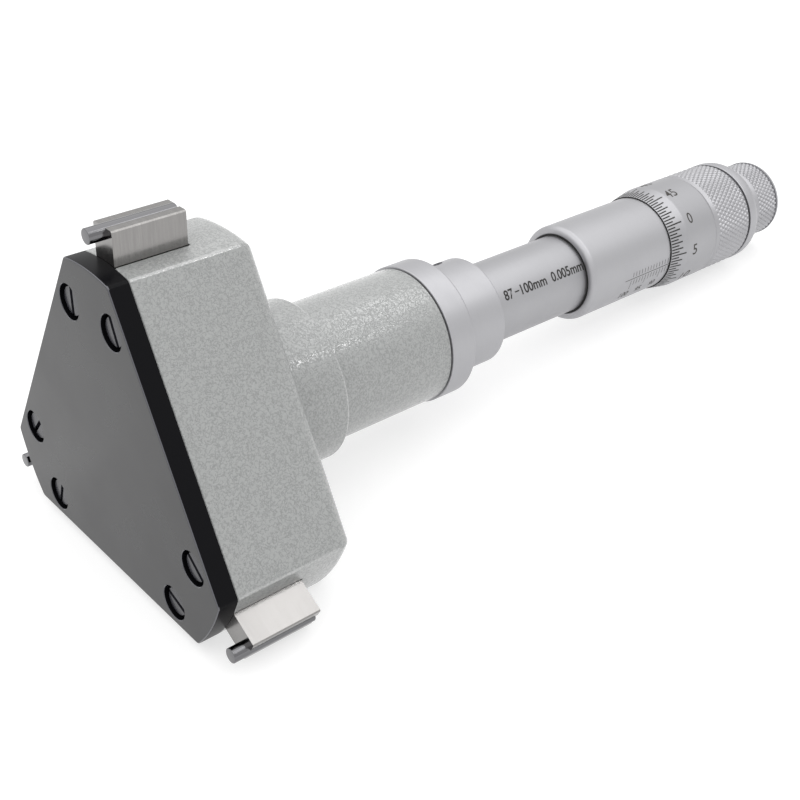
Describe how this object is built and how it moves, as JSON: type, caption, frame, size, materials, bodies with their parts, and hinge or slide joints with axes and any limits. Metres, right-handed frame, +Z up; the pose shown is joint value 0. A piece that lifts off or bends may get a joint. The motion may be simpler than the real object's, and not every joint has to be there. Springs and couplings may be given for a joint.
{
  "type": "inside micrometer",
  "caption": "Self-centring inside micrometer with a triangular head, radial anvils moved by a cone, and a graduated thimble with a ratchet knob.",
  "frame": {"origin": "centre of the bounding box on the table the instrument lies on", "axes": "+Z up; +X from the head towards the handle, which slopes down to rest on the thimble; +Y across the head"},
  "size_m": [0.189, 0.0774, 0.0696],
  "materials": {
    "hammer_paint": "grey-green hammertone enamel",
    "black_cover": "black oxide, satin",
    "black_screw": "black oxide",
    "satin_chrome": "satin",
    "ground_steel": "surface ground",
    "carbide": "lapped cemented carbide",
    "plain_steel": "turned",
    "bronze": "turned bronze"
  },
  "bodies": {
    "head": {"head_casing": "hammer_paint", "front_cover": "black_cover", "cover_screws": "black_screw", "guide_bush": "bronze", "clamp_collar": "satin_chrome", "barrel_nut": "satin_chrome", "barrel": "satin_chrome", "graduated_sleeve": "satin_chrome", "spindle_nut": "bronze", "adjusting_nut": "plain_steel"},
    "spreader": {"spreader_cone": "ground_steel", "swivel_cap": "plain_steel"},
    "thimble": {"spindle": "plain_steel", "thimble": "satin_chrome", "end_ring": "satin_chrome", "ratchet_clutch": "plain_steel", "knob_screw": "plain_steel"},
    "knob": {"ratchet_knob": "satin_chrome", "ratchet_spring": "plain_steel"},
    "anvil_a": {"anvil_1": "ground_steel", "contact_pin_1": "carbide"},
    "anvil_b": {"anvil_2": "ground_steel", "contact_pin_2": "carbide"},
    "anvil_c": {"anvil_3": "ground_steel", "contact_pin_3": "carbide"}
  },
  "joints": [
    {"name": "spreader_slide", "type": "slide", "parent": "head", "child": "spreader", "axis": [-0.9966, 0, 0.0824], "range_m": [0, 0.013]},
    {"name": "thimble_turn", "type": "hinge", "parent": "spreader", "child": "thimble", "pos_m": [0.04915, 0, 0.01462], "axis": [-0.9966, 0, 0.0824], "range_deg": [0, 9360]},
    {"name": "knob_turn", "type": "hinge", "parent": "thimble", "child": "knob", "pos_m": [0.08244, 0, 0.01187], "axis": [-0.9966, 0, 0.0824], "continuous": true},
    {"name": "anvil_a_slide", "type": "slide", "parent": "head", "child": "anvil_a", "axis": [0.0824, 0, 0.9966], "range_m": [0, 0.0065]},
    {"name": "anvil_b_slide", "type": "slide", "parent": "head", "child": "anvil_b", "axis": [-0.0412, -0.866, -0.4983], "range_m": [0, 0.0065]},
    {"name": "anvil_c_slide", "type": "slide", "parent": "head", "child": "anvil_c", "axis": [-0.0412, 0.866, -0.4983], "range_m": [0, 0.0065]}
  ],
  "couplings": [
    {"joint": "thimble_turn", "follows": "spreader_slide", "rad_per_m": 12566},
    {"joint": "anvil_a_slide", "follows": "spreader_slide", "ratio": 0.5},
    {"joint": "anvil_b_slide", "follows": "spreader_slide", "ratio": 0.5},
    {"joint": "anvil_c_slide", "follows": "spreader_slide", "ratio": 0.5}
  ]
}
